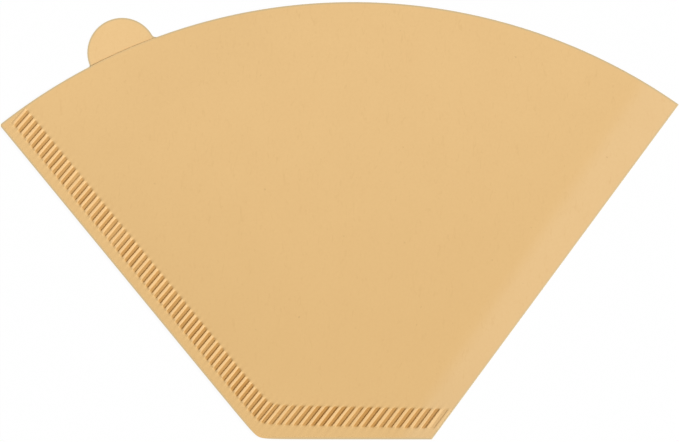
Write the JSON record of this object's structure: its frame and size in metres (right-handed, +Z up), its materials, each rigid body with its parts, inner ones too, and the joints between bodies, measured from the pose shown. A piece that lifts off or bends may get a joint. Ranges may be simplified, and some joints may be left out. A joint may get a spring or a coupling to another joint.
{
  "type": "paper coffee filter",
  "caption": "Flat-folded unbleached paper cone filter with crimped side and base seams, an open curved mouth and a round pull tab.",
  "frame": {"origin": "middle of the flat filter's outline, on the surface it lies on", "axes": "+Z up, out of the front ply; +X along the base seam, towards the folded edge; +Y from the base seam towards the open mouth"},
  "size_m": [0.1756, 0.1132, 0.0013],
  "materials": {
    "filter_paper": "matte unbleached filter paper"
  },
  "bodies": {
    "root": {"coffee_filter": "filter_paper"}
  },
  "joints": []
}
